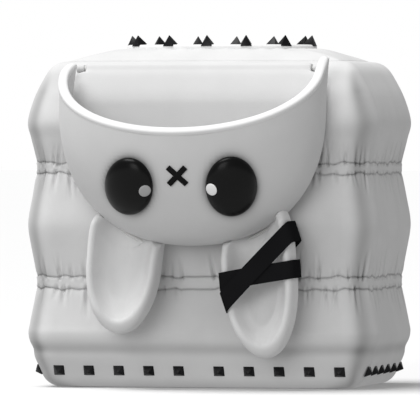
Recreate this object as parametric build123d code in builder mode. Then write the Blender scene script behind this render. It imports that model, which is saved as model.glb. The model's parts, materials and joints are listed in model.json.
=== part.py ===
from build123d import *
from math import asin, atan, cos, degrees, hypot, radians, sin, sqrt, tan
import os

# A quilted bag-bodied hand puppet with a rabbit-face hood. Millimetres, +Z up, the front towards -Y.
# The origin is the centre of the bag's outline on the surface that its hem stands on.

os.makedirs("parts", exist_ok=True)

# ---------------------------------------------------------------- driving dimensions
# Bag: the outline at its gathered waists, and how the tiers swell from it
body_width = 305.0
body_depth = 178.0
body_corner = 22.0
tightest_corner = 4.0
quilt = 14.0
tier_swell = 8.0
hem_height = 30.0
lower_tier_height = 58.0
lower_band_height = 11.0
middle_tier_height = 91.5
upper_band_height = 9.5
upper_tier_height = 91.0
shoulder_inset = 22.0
shoulder_lip = 6.0
lip_thickness = 12.0

# How a tier swells: (share of its height, share of tier_swell outwards) from its bottom to its top
lower_tier_shape = ((0.32, 1.0), (0.7, 0.62), (1.0, 0.0))
middle_tier_shape = ((0.0, 0.0), (0.25, 0.74), (0.5, 1.0), (0.75, 0.74), (1.0, 0.0))
upper_tier_shape = ((0.0, 0.0), (0.2, 0.75), (0.4, 1.0), (0.66, 0.0))
shoulder_turn_share = 0.86
shoulder_turn_inset = 9.9

# Hem cuff: a sloped face for the studs that curls under to the flat resting face
hem_flare = 3.0
hem_face_low = 8.0
hem_face_inset = 6.4
hem_curl_height = 2.0
hem_curl_inset = 17.0
hem_rest_inset = 24.0
hem_mouth_inset = 30.0

# Lining, yoke and collar
lining_thickness = 2.0
yoke_rise = 11.0
yoke_thickness = 5.0
yoke_lip = 7.0
yoke_top_flat = 3.0
neck_half_width = 82.0
neck_half_depth = 46.0
neck_setback = 6.0
collar_width = 9.0
collar_height = 10.0
collar_stand = 4.0

# Pyramid studs and spikes
stud_size = 9.5
stud_height = 5.5
stud_tip = 0.6
stud_pitch = 27.4
stud_centre_gap = 36.7
stud_post_radius = 1.5
stud_post_length = 6.0
row_studs_per_half = 5
side_studs = 6
spike_count = 12
spike_height = 9.5
spike_lean = 12.0
spike_post_length = 5.0

# Hood bowl: a straight-sided back part that ends in a rounded dome, cut by a sloping rim
bowl_radius = 119.0
bowl_straight = 14.0
bowl_bulge = 76.0
bowl_bottom = 127.0
shell_thickness = 4.5
hood_lining_thickness = 2.2
panel_thickness = 3.2
rim_slope = 35.0
rim_corner_height = 291.0
binding_height = 5.0
binding_lap = 0.9

# Fold at the top of the hood
fold_height = 284.0
fold_setback = 84.0
fold_length = 208.0
piping_radius = 2.5
sleeve_radius = 5.0
panel_turn_height = 252.0
panel_shoulder_height = 266.0
end_tab_width = 8.0

# Face
face_aside = 3.0
eye_offset = 46.0
eye_height = 180.0
eye_width = 43.0
eye_length = 54.0
eye_stand = 9.0
eye_edge = 5.0
eye_post_radius = 2.5
washer_radius = 9.0
washer_thickness = 1.6
washer_stand = 1.0
glint_radius = 5.2
glint_thickness = 1.2
glint_inset = 13.0
nose_height = 189.5
nose_span = 26.0
nose_bar_width = 5.0
nose_thickness = 1.2

# Ears
ear_width = 66.0
ear_thickness = 36.0
ear_tip_round = 72.0
left_ear_drop = 87.0
right_ear_drop = 110.0
left_ear_spread = 55.0
right_ear_spread = 59.0
ear_splay = 4.0
ear_rim = 7.5
ear_scoop_depth = 21.0
ear_pad_thickness = 3.0
ear_back_gap = 6.5
ear_pin_radius = 1.5
ear_sleeve_radius = 3.5
ear_sleeve_length = 42.0
ear_root_drop = 26.0
ear_pin_advance = 8.0
lug_length = 5.0
lug_width = 6.0

# Straps round the right ear
strap_width = 16.0
strap_thickness = 1.6
level_strap_height = 101.0
level_strap_angle = 10.0
cross_strap_height = 106.0
cross_strap_angle = 49.0

# Clearances
fit = 0.3
soft_gap = 1.2

# ---------------------------------------------------------------- levels and places
lower_band_base = hem_height + lower_tier_height
middle_tier_base = lower_band_base + lower_band_height
upper_band_base = middle_tier_base + middle_tier_height
upper_tier_base = upper_band_base + upper_band_height
shoulder_height = upper_tier_base + upper_tier_height
lip_base = shoulder_height - lip_thickness
yoke_inset = shoulder_inset + shoulder_lip + fit
collar_base = shoulder_height + yoke_rise - (collar_height - collar_stand)
collar_top = collar_base + collar_height

body_front = body_depth / 2 + tier_swell
panel_back = body_front + soft_gap
panel_front = panel_back + panel_thickness
dome_start = panel_front + bowl_straight
bowl_centre = bowl_bottom + bowl_radius
bowl_top = rim_corner_height + bowl_radius


def bag_outline(inset):
    """Rounded outline of the bag, drawn this far inside its waist outline."""
    RectangleRounded(body_width - 2 * inset, body_depth - 2 * inset, max(body_corner - inset, tightest_corner))


def swelling(base, height, shape):
    """Heights and insets of a tier's outlines, from its shape."""
    return [(base + share * height, -outwards * tier_swell) for share, outwards in shape]


def quilted_ring(sections, inner_inset):
    """Closed tier: a smooth loft through (height, inset) outlines round a straight inner wall."""
    with BuildPart() as ring:
        for height, inset in sections:
            with BuildSketch(Plane.XY.offset(height)):
                bag_outline(inset)
        loft()
        base = sections[0][0]
        with BuildSketch(Plane.XY.offset(base)):
            bag_outline(inner_inset)
        extrude(amount=sections[-1][0] - base, mode=Mode.SUBTRACT)
    return ring


def straight_ring(base, height, outer_inset, inner_inset):
    """Straight-walled ring between two outlines of the bag."""
    with BuildPart() as ring:
        with BuildSketch(Plane.XY.offset(base)):
            bag_outline(outer_inset)
            with BuildSketch(mode=Mode.PRIVATE) as bore:
                bag_outline(inner_inset)
            add(bore.sketch, mode=Mode.SUBTRACT)
        extrude(amount=height)
    return ring


def finish(node, name):
    """Label a finished piece and write its file."""
    node.part.label = name
    export_step(node.part, f"parts/{name}.step")


# ---------------------------------------------------------------- stud rows on the hem
hem_slope = atan((hem_flare + hem_face_inset) / (hem_height - hem_face_low))
stud_level = hem_face_low + (hem_height - hem_face_low) / 3
stud_inset = hem_face_inset - (stud_level - hem_face_low) * tan(hem_slope)


def long_row(side):
    """Seats of the studs along the front (side -1) or the back (side 1), facing out and down."""
    reach = body_depth / 2 - stud_inset
    along = [stud_centre_gap / 2 + stud_pitch * i for i in range(row_studs_per_half)]
    return [
        Plane((x, side * reach, stud_level), x_dir=(1, 0, 0), z_dir=(0, side * cos(hem_slope), -sin(hem_slope)))
        for x in [-offset for offset in along] + along
    ]


def short_row(side):
    """Seats of the studs along the left (side -1) or the right (side 1) end of the bag."""
    reach = body_width / 2 - stud_inset
    along = [stud_pitch * (i - (side_studs - 1) / 2) for i in range(side_studs)]
    return [
        Plane((side * reach, y, stud_level), x_dir=(0, 1, 0), z_dir=(side * cos(hem_slope), 0, -sin(hem_slope)))
        for y in along
    ]


def pyramids(seats, height, post_length, level=0.0):
    """One pyramid with a round post behind it on each seat, its foot trimmed at level."""
    taper = degrees(atan((stud_size - stud_tip) / 2 / height))
    with BuildPart() as studs:
        with BuildSketch(*seats):
            Rectangle(stud_size, stud_size)
        extrude(amount=height, taper=taper)
        with BuildSketch(Plane.XY.offset(level)):
            Rectangle(2 * body_width, 2 * body_depth)
        extrude(amount=-2 * stud_size, mode=Mode.SUBTRACT)
        with BuildSketch(*seats):
            Circle(stud_post_radius)
        extrude(amount=-post_length)
    return studs


stud_rows = {
    "hem_studs_front": long_row(-1),
    "hem_studs_back": long_row(1),
    "hem_studs_left": short_row(-1),
    "hem_studs_right": short_row(1),
}
for row_name, seats in stud_rows.items():
    finish(pyramids(seats, stud_height, stud_post_length), row_name)

# ---------------------------------------------------------------- hem cuff
# Straight facets down to the curl, so that each stud has a flat seat, and a hole for each post
with BuildPart() as hem_cuff:
    for height, inset in (
        (hem_height, -hem_flare),
        (hem_face_low, hem_face_inset),
        (hem_curl_height, hem_curl_inset),
        (0.0, hem_rest_inset),
    ):
        with BuildSketch(Plane.XY.offset(height)):
            bag_outline(inset)
    loft(ruled=True)
    with BuildSketch(Plane.XY):
        bag_outline(hem_mouth_inset)
    extrude(amount=hem_height, mode=Mode.SUBTRACT)
    with BuildSketch(*[seat for seats in stud_rows.values() for seat in seats]):
        Circle(stud_post_radius + fit / 3)
    extrude(amount=-(stud_post_length + fit), mode=Mode.SUBTRACT)
finish(hem_cuff, "hem_cuff")

# ---------------------------------------------------------------- quilted tiers and gathered bands
lower_tier = quilted_ring(
    [(hem_height, -hem_flare)] + swelling(hem_height, lower_tier_height, lower_tier_shape),
    quilt,
)
finish(lower_tier, "lower_tier")

middle_tier = quilted_ring(swelling(middle_tier_base, middle_tier_height, middle_tier_shape), quilt)
finish(middle_tier, "middle_tier")

# The upper tier leans in to the shoulder and turns over it in a flat lip that carries the yoke
with BuildPart() as upper_tier:
    for height, inset in swelling(upper_tier_base, upper_tier_height, upper_tier_shape) + [
        (upper_tier_base + shoulder_turn_share * upper_tier_height, shoulder_turn_inset),
        (shoulder_height, shoulder_inset),
    ]:
        with BuildSketch(Plane.XY.offset(height)):
            bag_outline(inset)
    loft()
    with BuildSketch(Plane.XY.offset(upper_tier_base)):
        bag_outline(quilt)
    extrude(amount=lip_base - upper_tier_base, mode=Mode.SUBTRACT)
    with BuildSketch(Plane.XY.offset(lip_base)):
        bag_outline(shoulder_inset + shoulder_lip)
    extrude(amount=lip_thickness, mode=Mode.SUBTRACT)
finish(upper_tier, "upper_tier")

finish(straight_ring(lower_band_base, lower_band_height, 0.0, quilt), "lower_gather_band")
finish(straight_ring(upper_band_base, upper_band_height, 0.0, quilt), "upper_gather_band")
finish(
    straight_ring(hem_height + fit, lip_base - hem_height - 2 * fit, quilt + fit, quilt + fit + lining_thickness),
    "body_lining",
)

# ---------------------------------------------------------------- yoke and collar
neck_plane = Plane((0, neck_setback, 0))


def yoke_form(base):
    """Low mound from the shoulder's outline up to the outline round the neck."""
    with BuildPart() as form:
        with BuildSketch(Plane.XY.offset(base)):
            bag_outline(yoke_inset)
        with BuildSketch(neck_plane.offset(base + yoke_rise)):
            RectangleRounded(
                2 * (neck_half_width + yoke_lip),
                2 * (neck_half_depth + yoke_lip),
                neck_half_depth + yoke_lip - yoke_top_flat,
            )
        loft()
    return form


with BuildPart() as top_yoke:
    add(yoke_form(shoulder_height).part)
    with BuildSketch(Plane.XY.offset(shoulder_height - yoke_thickness)):
        bag_outline(yoke_inset)
    extrude(amount=yoke_thickness)
    add(yoke_form(shoulder_height - yoke_thickness).part, mode=Mode.SUBTRACT)
    with BuildSketch(neck_plane.offset(shoulder_height - 2 * yoke_thickness)):
        Ellipse(neck_half_width + collar_width / 2 + fit, neck_half_depth + collar_width / 2 + fit)
    extrude(amount=2 * (yoke_thickness + yoke_rise), mode=Mode.SUBTRACT)
finish(top_yoke, "top_yoke")

# The spikes stand evenly round the middle line of the collar and lean outwards
with BuildLine(neck_plane.offset(collar_top)) as collar_line:
    EllipticalCenterArc((0, 0), neck_half_width, neck_half_depth, start_angle=0, arc_size=360)
collar_edge = collar_line.edges()[0]
spike_seats = []
for i in range(spike_count):
    along = collar_edge.length * i / spike_count
    here = collar_edge.position_at(along, position_mode=PositionMode.LENGTH)
    outward = Vector(here.X / neck_half_width**2, (here.Y - neck_setback) / neck_half_depth**2, 0).normalized()
    lean = outward * sin(radians(spike_lean)) + Vector(0, 0, cos(radians(spike_lean)))
    spike_seats.append(Plane(here, x_dir=Vector(0, 0, 1).cross(outward), z_dir=lean))

with BuildPart() as collar_band:
    with BuildSketch(neck_plane.offset(collar_base)):
        Ellipse(neck_half_width + collar_width / 2, neck_half_depth + collar_width / 2)
        Ellipse(neck_half_width - collar_width / 2, neck_half_depth - collar_width / 2, mode=Mode.SUBTRACT)
    extrude(amount=collar_height)
    with BuildSketch(*spike_seats):
        Circle(stud_post_radius + fit / 3)
    extrude(amount=-(spike_post_length + fit), mode=Mode.SUBTRACT)
finish(collar_band, "collar_band")

# A leaning spike's foot would dip into the collar on its outer side, so each is trimmed level with it
collar_spikes = pyramids(spike_seats, spike_height, spike_post_length, collar_top)
finish(collar_spikes, "collar_spikes")

# ---------------------------------------------------------------- hood bowl
# The bowl is a straight-sided U against the back panel that closes forwards in a rounded dome


def bowl_form(grow):
    """The bowl's full outer form, grown evenly by grow, before its rim is cut."""
    radius = bowl_radius + grow
    bulge = bowl_bulge + grow
    with BuildPart() as form:
        with BuildSketch(Plane.XZ.offset(panel_front)):
            with Locations((0, bowl_centre)):
                Circle(radius)
                Rectangle(2 * radius, bowl_top - bowl_centre, align=(Align.CENTER, Align.MIN))
        extrude(amount=bowl_straight)
        with BuildSketch(Plane.XY.offset(bowl_centre)):
            with Locations((0, -dome_start)):
                Ellipse(radius, bulge)
                Rectangle(2 * radius, bulge, align=(Align.CENTER, Align.MIN), mode=Mode.SUBTRACT)
        extrude(amount=bowl_top - bowl_centre)
        with BuildSketch(Plane.XY.offset(bowl_centre)):
            with Locations((0, -dome_start)):
                Ellipse(radius, bulge)
                Rectangle(2 * radius, bulge, align=(Align.CENTER, Align.MIN), mode=Mode.SUBTRACT)
                Rectangle(radius, bulge, align=(Align.MAX, Align.MAX), mode=Mode.SUBTRACT)
        revolve(axis=Axis((0, 0, bowl_centre), (0, 1, 0)))
    return form


def below_rim(drop):
    """Everything below the sloping rim plane, lowered by drop."""
    with BuildPart() as below:
        with BuildSketch(Plane.YZ) as side:
            with BuildLine():
                corner = (-panel_front, rim_corner_height - drop)
                front = (-panel_front - 2 * bowl_radius, corner[1] - 2 * bowl_radius * tan(radians(rim_slope)))
                Polyline(corner, front, (front[0], front[1] - bowl_radius), (corner[0], -bowl_radius), close=True)
            make_face()
        extrude(amount=2 * bowl_radius, both=True)
    return below


binding_drop = binding_height / cos(radians(rim_slope))
form_outer = bowl_form(0.0)
form_shell_inner = bowl_form(-shell_thickness)
form_lining_outer = bowl_form(-shell_thickness - fit)
form_lining_inner = bowl_form(-shell_thickness - fit - hood_lining_thickness)
under_binding = below_rim(binding_drop)

# Eyes: an oval button with a rounded face, cut at the back to the dome that it sits on


def eye_plane(side):
    """Seat of an eye on the dome, facing out along its surface, with y up and square to the x axis."""
    across = face_aside + side * eye_offset
    reach = hypot(across, eye_height - bowl_centre) / bowl_radius
    forward = bowl_bulge * sqrt(1 - reach**2)
    outward = Vector(
        across / bowl_radius**2,
        -forward / bowl_bulge**2,
        (eye_height - bowl_centre) / bowl_radius**2,
    ).normalized()
    upright = Vector(0, outward.Z, -outward.Y)
    return Plane((across, -dome_start - forward, eye_height), x_dir=upright.cross(outward), z_dir=outward)


hood_wall = shell_thickness + fit + hood_lining_thickness
form_seat = bowl_form(fit)
for side, name in ((-1, "left"), (1, "right")):
    seat = eye_plane(side)
    glint_place = (-side * glint_inset, 0)
    with BuildPart() as eye:
        with BuildSketch(seat.offset(-eye_edge)):
            Ellipse(eye_width / 2, eye_length / 2)
        extrude(amount=eye_edge + eye_stand)
        fillet(eye.faces().sort_by(Axis(seat.origin, seat.z_dir))[-1].edges(), radius=eye_edge)
        with BuildSketch(seat.offset(eye_stand)):
            with Locations(glint_place):
                Circle(glint_radius + fit / 3)
        extrude(amount=-glint_thickness / 2, mode=Mode.SUBTRACT)
        add(form_seat.part, mode=Mode.SUBTRACT)
        with BuildSketch(seat):
            Circle(eye_post_radius)
        extrude(amount=-(hood_wall + washer_thickness + 2 * fit + washer_stand))
        with BuildSketch(seat):
            Circle(eye_post_radius)
        extrude(amount=eye_stand / 2)
    finish(eye, f"eye_{name}")

    with BuildPart() as glint:
        with BuildSketch(seat.offset(eye_stand - glint_thickness / 2)):
            with Locations(glint_place):
                Circle(glint_radius)
        extrude(amount=glint_thickness)
    finish(glint, f"eye_glint_{name}")

    with BuildPart() as washer:
        with BuildSketch(seat.offset(-hood_wall - washer_thickness - washer_stand)):
            Circle(washer_radius)
            Circle(eye_post_radius + fit / 3, mode=Mode.SUBTRACT)
        extrude(amount=washer_thickness)
    finish(washer, f"eye_washer_{name}")

post_seats = [eye_plane(-1), eye_plane(1)]
with BuildPart() as bowl_wall:
    add(form_outer.part)
    add(form_shell_inner.part, mode=Mode.SUBTRACT)
    add(under_binding.part, mode=Mode.INTERSECT)
    with BuildSketch(*post_seats):
        Circle(eye_post_radius + fit / 3)
    extrude(amount=-2 * hood_wall, mode=Mode.SUBTRACT)

# The wall is sewn from the domed face panel and a straight gusset behind it
for keep, name in ((Keep.TOP, "hood_shell"), (Keep.BOTTOM, "hood_gusset")):
    with BuildPart() as bowl_piece:
        add(bowl_wall.part)
        split(bisect_by=Plane.XZ.offset(dome_start), keep=keep)
    finish(bowl_piece, name)

with BuildPart() as hood_lining:
    add(form_lining_outer.part)
    add(form_lining_inner.part, mode=Mode.SUBTRACT)
    add(under_binding.part, mode=Mode.INTERSECT)
    with BuildSketch(*post_seats):
        Circle(eye_post_radius + fit / 3)
    extrude(amount=-2 * hood_wall, mode=Mode.SUBTRACT)
finish(hood_lining, "hood_lining")

# The binding laps over both cut edges of the bowl
with BuildPart() as rim_binding:
    add(bowl_form(binding_lap).part)
    add(bowl_form(-hood_wall - binding_lap).part, mode=Mode.SUBTRACT)
    add(below_rim(0.0).part, mode=Mode.INTERSECT)
    add(under_binding.part, mode=Mode.SUBTRACT)
finish(rim_binding, "rim_binding")

# Nose: two crossed strips that follow the dome
nose_outer = bowl_form(fit + nose_thickness)
for angle, name in ((45, "nose_bar_rising"), (-45, "nose_bar_falling")):
    with BuildPart() as nose_bar:
        add(nose_outer.part)
        add(form_seat.part, mode=Mode.SUBTRACT)
        with BuildSketch(Plane.XZ.offset(dome_start)) as strip:
            with Locations((face_aside, nose_height)):
                Rectangle(nose_span, nose_bar_width, rotation=angle)
                if name == "nose_bar_falling":
                    Rectangle(nose_span, nose_bar_width + 2 * fit, rotation=-angle, mode=Mode.SUBTRACT)
        extrude(amount=2 * bowl_bulge, mode=Mode.INTERSECT)
    finish(nose_bar, name)

# ---------------------------------------------------------------- back panel, fold sleeve and piping
# The panel lies just off the bag's front, then slants up to the sleeve that turns on the fold's piping
fold_plane = Plane((0, -fold_setback, fold_height), x_dir=(0, 1, 0), z_dir=(1, 0, 0))
with BuildPart() as back_panel:
    with BuildSketch(Plane.YZ):
        with BuildLine():
            Polyline(
                (-panel_back, 0.0),
                (-panel_back, panel_turn_height),
                (-fold_setback, fold_height),
                (-fold_setback - panel_thickness, fold_height),
                (-panel_front, panel_turn_height),
                (-panel_front, 0.0),
                close=True,
            )
        make_face()
    extrude(amount=bowl_radius, both=True)
    with BuildSketch(Plane.XZ):
        with Locations((0, bowl_centre)):
            Circle(bowl_radius)
            Rectangle(2 * bowl_radius, bowl_radius, align=(Align.CENTER, Align.MIN), mode=Mode.SUBTRACT)
            Rectangle(2 * bowl_radius, panel_shoulder_height - bowl_centre, align=(Align.CENTER, Align.MIN))
            Rectangle(fold_length, fold_height - bowl_centre, align=(Align.CENTER, Align.MIN))
    extrude(amount=2 * panel_front, mode=Mode.INTERSECT)
    with BuildSketch(fold_plane):
        Circle(sleeve_radius)
    extrude(amount=fold_length / 2, both=True)
    with BuildSketch(fold_plane):
        Circle(piping_radius + fit / 3)
    extrude(amount=fold_length, both=True, mode=Mode.SUBTRACT)
finish(back_panel, "hood_back_panel")

with BuildPart() as fold_piping:
    with BuildSketch(fold_plane):
        Circle(piping_radius)
    extrude(amount=fold_length / 2 + end_tab_width, both=True)
finish(fold_piping, "fold_piping")

# Each end tab is a stitched loop: it holds the piping's end and lies against the shoulder
with BuildPart() as fold_end_tabs:
    for side in (-1, 1):
        with BuildSketch(fold_plane.offset(side * (fold_length / 2 + fit + (end_tab_width - fit) / 2))):
            Circle(sleeve_radius)
            with Locations((0, -sleeve_radius)):
                Rectangle(2 * tier_swell + sleeve_radius, 2 * sleeve_radius, align=(Align.MIN, Align.MIN))
        extrude(amount=(end_tab_width - fit) / 2, both=True)
    add(upper_tier.part, mode=Mode.SUBTRACT)
    with BuildSketch(fold_plane):
        Circle(piping_radius + fit / 3)
    extrude(amount=fold_length, both=True, mode=Mode.SUBTRACT)
finish(fold_end_tabs, "fold_end_tabs")

# ---------------------------------------------------------------- ears
# Each ear hangs from a pin that lies along the bowl's underside, tangent to its curve
root_reach = bowl_radius + soft_gap + ear_sleeve_radius
pin_y = -(panel_front + ear_pin_advance)
ear_back = -(body_front + ear_back_gap)
pin_length = ear_sleeve_length + 2 * (fit + lug_length)
form_lug = bowl_form(fit / 3)


def root_plane(side, spread):
    """Plane across an ear's pin at its middle: x runs backwards, y up and the normal along the pin."""
    angle = asin(spread / bowl_radius)
    return Plane(
        (side * root_reach * sin(angle), pin_y, bowl_centre - root_reach * cos(angle)),
        x_dir=(0, 1, 0),
        z_dir=(cos(angle), 0, side * sin(angle)),
    )


def ear_outline(side, root, drop, grow):
    """Front outline of an ear on the sketch's own plane: long, rounded at the tip, square at the root."""
    with Locations(Location((root.origin.X, root.origin.Z, 0), (0, 0, side * ear_splay))):
        with Locations((0, ear_tip_round - drop)):
            Ellipse(ear_width / 2 + grow, ear_tip_round + grow)
            Rectangle(ear_width + 2 * grow, 2 * drop, align=(Align.CENTER, Align.MIN))


def ear_form(side, root, drop, grow=0.0):
    """The ear's full outer form, grown by grow, without its scoop."""
    front = pin_y - ear_back + ear_thickness
    with BuildPart() as form:
        with BuildSketch(Plane.XZ.offset(-ear_back - grow)):
            ear_outline(side, root, drop, grow)
        extrude(amount=ear_thickness + 2 * grow)
        with BuildSketch(root):
            with BuildLine():
                Polyline(
                    (ear_sleeve_radius, 0.0),
                    (ear_back - pin_y, -ear_root_drop / 3),
                    (ear_back - pin_y, -2 * drop),
                    (-front, -2 * drop),
                    (-front, -ear_root_drop),
                    (-ear_sleeve_radius, 0.0),
                    close=True,
                )
            make_face()
            if grow:
                offset(amount=grow, kind=Kind.INTERSECTION)
        extrude(amount=3 * ear_width, both=True, mode=Mode.INTERSECT)
    return form


def strap(side, root, drop, height, angle, lift):
    """A closed band round the ear, lift clear of its form, centred on a sloping line."""
    with BuildPart() as band:
        add(ear_form(side, root, drop, lift + strap_thickness).part)
        add(ear_form(side, root, drop, lift).part, mode=Mode.SUBTRACT)
        with BuildSketch(Plane.XZ):
            with Locations((root.origin.X, height)):
                Rectangle(4 * ear_width, strap_width, rotation=angle)
        extrude(amount=-2 * ear_back, mode=Mode.INTERSECT)
    return band


ears = (
    ("left", -1, left_ear_spread, left_ear_drop),
    ("right", 1, right_ear_spread, right_ear_drop),
)
for name, side, spread, drop in ears:
    root = root_plane(side, spread)
    scoop_front = Plane.XZ.offset(-ear_back + ear_thickness)

    with BuildPart() as ear:
        add(ear_form(side, root, drop).part)
        with BuildSketch(scoop_front):
            ear_outline(side, root, drop, -ear_rim)
        extrude(amount=-ear_scoop_depth, mode=Mode.SUBTRACT)
        with BuildSketch(root):
            Circle(ear_sleeve_radius)
        extrude(amount=ear_sleeve_length / 2, both=True)
        with BuildSketch(root.offset(-2 * ear_width), root.offset(ear_sleeve_length / 2)):
            Rectangle(2 * ear_thickness, 2 * (ear_sleeve_radius + fit))
        extrude(amount=2 * ear_width - ear_sleeve_length / 2, mode=Mode.SUBTRACT)
        with BuildSketch(root):
            Circle(ear_pin_radius + fit / 3)
        extrude(amount=2 * ear_width, both=True, mode=Mode.SUBTRACT)
    finish(ear, f"ear_{name}")

    with BuildPart() as ear_pad:
        with BuildSketch(scoop_front.offset(-ear_scoop_depth + fit)):
            ear_outline(side, root, drop, -ear_rim - fit)
        extrude(amount=ear_pad_thickness)
        with BuildSketch(root):
            Rectangle(4 * ear_thickness, 2 * (ear_root_drop - ear_rim))
        extrude(amount=3 * ear_width, both=True, mode=Mode.SUBTRACT)
        with BuildSketch(root):
            Rectangle(4 * ear_thickness, 6 * drop, align=(Align.CENTER, Align.MIN))
        extrude(amount=3 * ear_width, both=True, mode=Mode.SUBTRACT)
    finish(ear_pad, f"ear_pad_{name}")

    with BuildPart() as ear_pin:
        with BuildSketch(root):
            Circle(ear_pin_radius)
        extrude(amount=pin_length / 2, both=True)
    finish(ear_pin, f"ear_pin_{name}")

    with BuildPart() as ear_lugs:
        with BuildSketch(root.offset(-pin_length / 2), root.offset(pin_length / 2 - lug_length)):
            Circle(lug_width / 2)
            Rectangle(lug_width, 3 * lug_width, align=(Align.CENTER, Align.MIN))
        extrude(amount=lug_length)
        add(form_lug.part, mode=Mode.SUBTRACT)
        add(ear_pin.part, mode=Mode.SUBTRACT)
    finish(ear_lugs, f"ear_lugs_{name}")

right_root = root_plane(1, right_ear_spread)
level_strap = strap(1, right_root, right_ear_drop, level_strap_height, level_strap_angle, fit)
finish(level_strap, "ear_strap_level")
cross_lift = strap_thickness + 2 * fit
cross_strap = strap(1, right_root, right_ear_drop, cross_strap_height, cross_strap_angle, cross_lift)
finish(cross_strap, "ear_strap_crossing")
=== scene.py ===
"""Looks of a quilted, bag-bodied hand puppet whose rabbit-face hood hangs down its front."""

import json
import logging
import math
import random
from dataclasses import dataclass, field
from enum import Enum
from typing import Callable

import bpy
import numpy as np
from mathutils import Matrix, Vector


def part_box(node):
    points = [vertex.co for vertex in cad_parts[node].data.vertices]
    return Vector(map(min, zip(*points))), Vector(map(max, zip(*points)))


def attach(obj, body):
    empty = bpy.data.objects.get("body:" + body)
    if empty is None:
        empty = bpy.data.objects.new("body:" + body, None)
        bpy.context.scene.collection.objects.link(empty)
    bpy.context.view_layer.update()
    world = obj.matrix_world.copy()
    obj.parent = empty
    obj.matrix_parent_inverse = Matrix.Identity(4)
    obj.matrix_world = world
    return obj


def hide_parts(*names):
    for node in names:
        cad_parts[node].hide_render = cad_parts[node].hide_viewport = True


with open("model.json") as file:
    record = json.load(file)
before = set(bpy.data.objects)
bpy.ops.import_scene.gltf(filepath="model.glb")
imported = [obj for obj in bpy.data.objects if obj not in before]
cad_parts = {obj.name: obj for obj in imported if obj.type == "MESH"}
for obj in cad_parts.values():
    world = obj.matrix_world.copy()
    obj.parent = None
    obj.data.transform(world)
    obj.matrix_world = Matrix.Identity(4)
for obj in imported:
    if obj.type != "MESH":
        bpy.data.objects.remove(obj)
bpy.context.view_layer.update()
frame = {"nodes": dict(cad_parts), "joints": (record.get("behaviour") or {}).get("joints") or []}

MM = 0.001
EYES = (-43.0 * MM, 49.0 * MM)
NECK_FULLNESS = 0.85
LOG = logging.getLogger("puppet")

Place = Callable[[np.ndarray, np.ndarray], np.ndarray]


# ---------------------------------------------------------------- making and selecting


def deselect() -> None:
    """Leave object mode and select nothing."""
    if bpy.context.object is not None and bpy.context.object.mode != "OBJECT":
        bpy.ops.object.mode_set(mode="OBJECT")
    bpy.ops.object.select_all(action="DESELECT")


def take(obj: bpy.types.Object) -> None:
    """Make obj the only selected and active object."""
    deselect()
    obj.select_set(True)
    bpy.context.view_layer.objects.active = obj


def added(name: str) -> bpy.types.Object:
    """Name the primitive that was just added and return it."""
    obj = bpy.context.active_object
    obj.name = name
    obj.data.name = name
    return obj


def settle(obj: bpy.types.Object) -> None:
    """Write obj's place, turn and scale into its mesh."""
    take(obj)
    bpy.ops.object.transform_apply(location=True, rotation=True, scale=True)


def smooth(obj: bpy.types.Object, angle: float = 180.0) -> None:
    """Shade obj smoothly, but for edges sharper than angle in degrees."""
    take(obj)
    if angle >= 180.0:
        bpy.ops.object.shade_smooth()
    else:
        bpy.ops.object.shade_smooth_by_angle(angle=math.radians(angle))


def outward(obj: bpy.types.Object) -> None:
    """Merge obj's doubles and turn its faces outwards."""
    take(obj)
    bpy.ops.object.mode_set(mode="EDIT")
    bpy.ops.mesh.select_all(action="SELECT")
    bpy.ops.mesh.remove_doubles(threshold=2e-6)
    bpy.ops.mesh.normals_make_consistent(inside=False)
    bpy.ops.object.mode_set(mode="OBJECT")


def select_points(obj: bpy.types.Object, test: Callable[[Vector], bool]) -> None:
    """Select in edit mode the vertices of obj whose place passes test.

    Args:
        obj: The mesh object, which ends in edit mode.
        test: Says whether a vertex at this place is selected.
    """
    take(obj)
    bpy.ops.object.mode_set(mode="EDIT")
    bpy.ops.mesh.select_mode(type="VERT")
    bpy.ops.mesh.select_all(action="DESELECT")
    bpy.ops.object.mode_set(mode="OBJECT")
    for vertex in obj.data.vertices:
        vertex.select = test(vertex.co)
    bpy.ops.object.mode_set(mode="EDIT")


def bisect_clear(obj: bpy.types.Object, point: Vector, normal: Vector, fill: bool = False) -> None:
    """Cut obj along a plane and clear the side that the normal points to."""
    take(obj)
    bpy.ops.object.mode_set(mode="EDIT")
    bpy.ops.mesh.select_all(action="SELECT")
    bpy.ops.mesh.bisect(plane_co=point, plane_no=normal, clear_outer=True, use_fill=fill, threshold=1e-6)
    bpy.ops.object.mode_set(mode="OBJECT")


def apply_modifier(obj: bpy.types.Object, kind: str, **settings: object) -> None:
    """Add a modifier of that kind with those settings and apply it."""
    take(obj)
    modifier = obj.modifiers.new(kind.title(), kind)
    for key, value in settings.items():
        setattr(modifier, key, value)
    bpy.ops.object.modifier_apply(modifier=modifier.name)


def joined(parts: list[bpy.types.Object], name: str) -> bpy.types.Object:
    """Join the parts into one object of that name."""
    take(parts[0])
    for part in parts:
        part.select_set(True)
    if len(parts) > 1:
        bpy.ops.object.join()
    return added(name)


def ball(name: str, segments: int, rings: int, half: tuple[float, float, float],
         centre: tuple[float, float, float] = (0.0, 0.0, 0.0)) -> bpy.types.Object:
    """Add a ball and stretch it.

    Args:
        name: The ball's name.
        segments: Faces round it.
        rings: Faces from pole to pole.
        half: Its half sizes.
        centre: Its middle.

    Returns:
        The ball, its place written into its mesh.
    """
    deselect()
    bpy.ops.mesh.primitive_uv_sphere_add(segments=segments, ring_count=rings, radius=1.0, location=(0, 0, 0))
    obj = added(name)
    take(obj)
    bpy.ops.transform.resize(value=half)
    bpy.ops.transform.translate(value=centre)
    settle(obj)
    return obj


def places_of(obj: bpy.types.Object) -> np.ndarray:
    """The places of obj's vertices, one row each."""
    flat = np.empty(len(obj.data.vertices) * 3)
    obj.data.vertices.foreach_get("co", flat)
    return flat.reshape(-1, 3)


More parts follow.
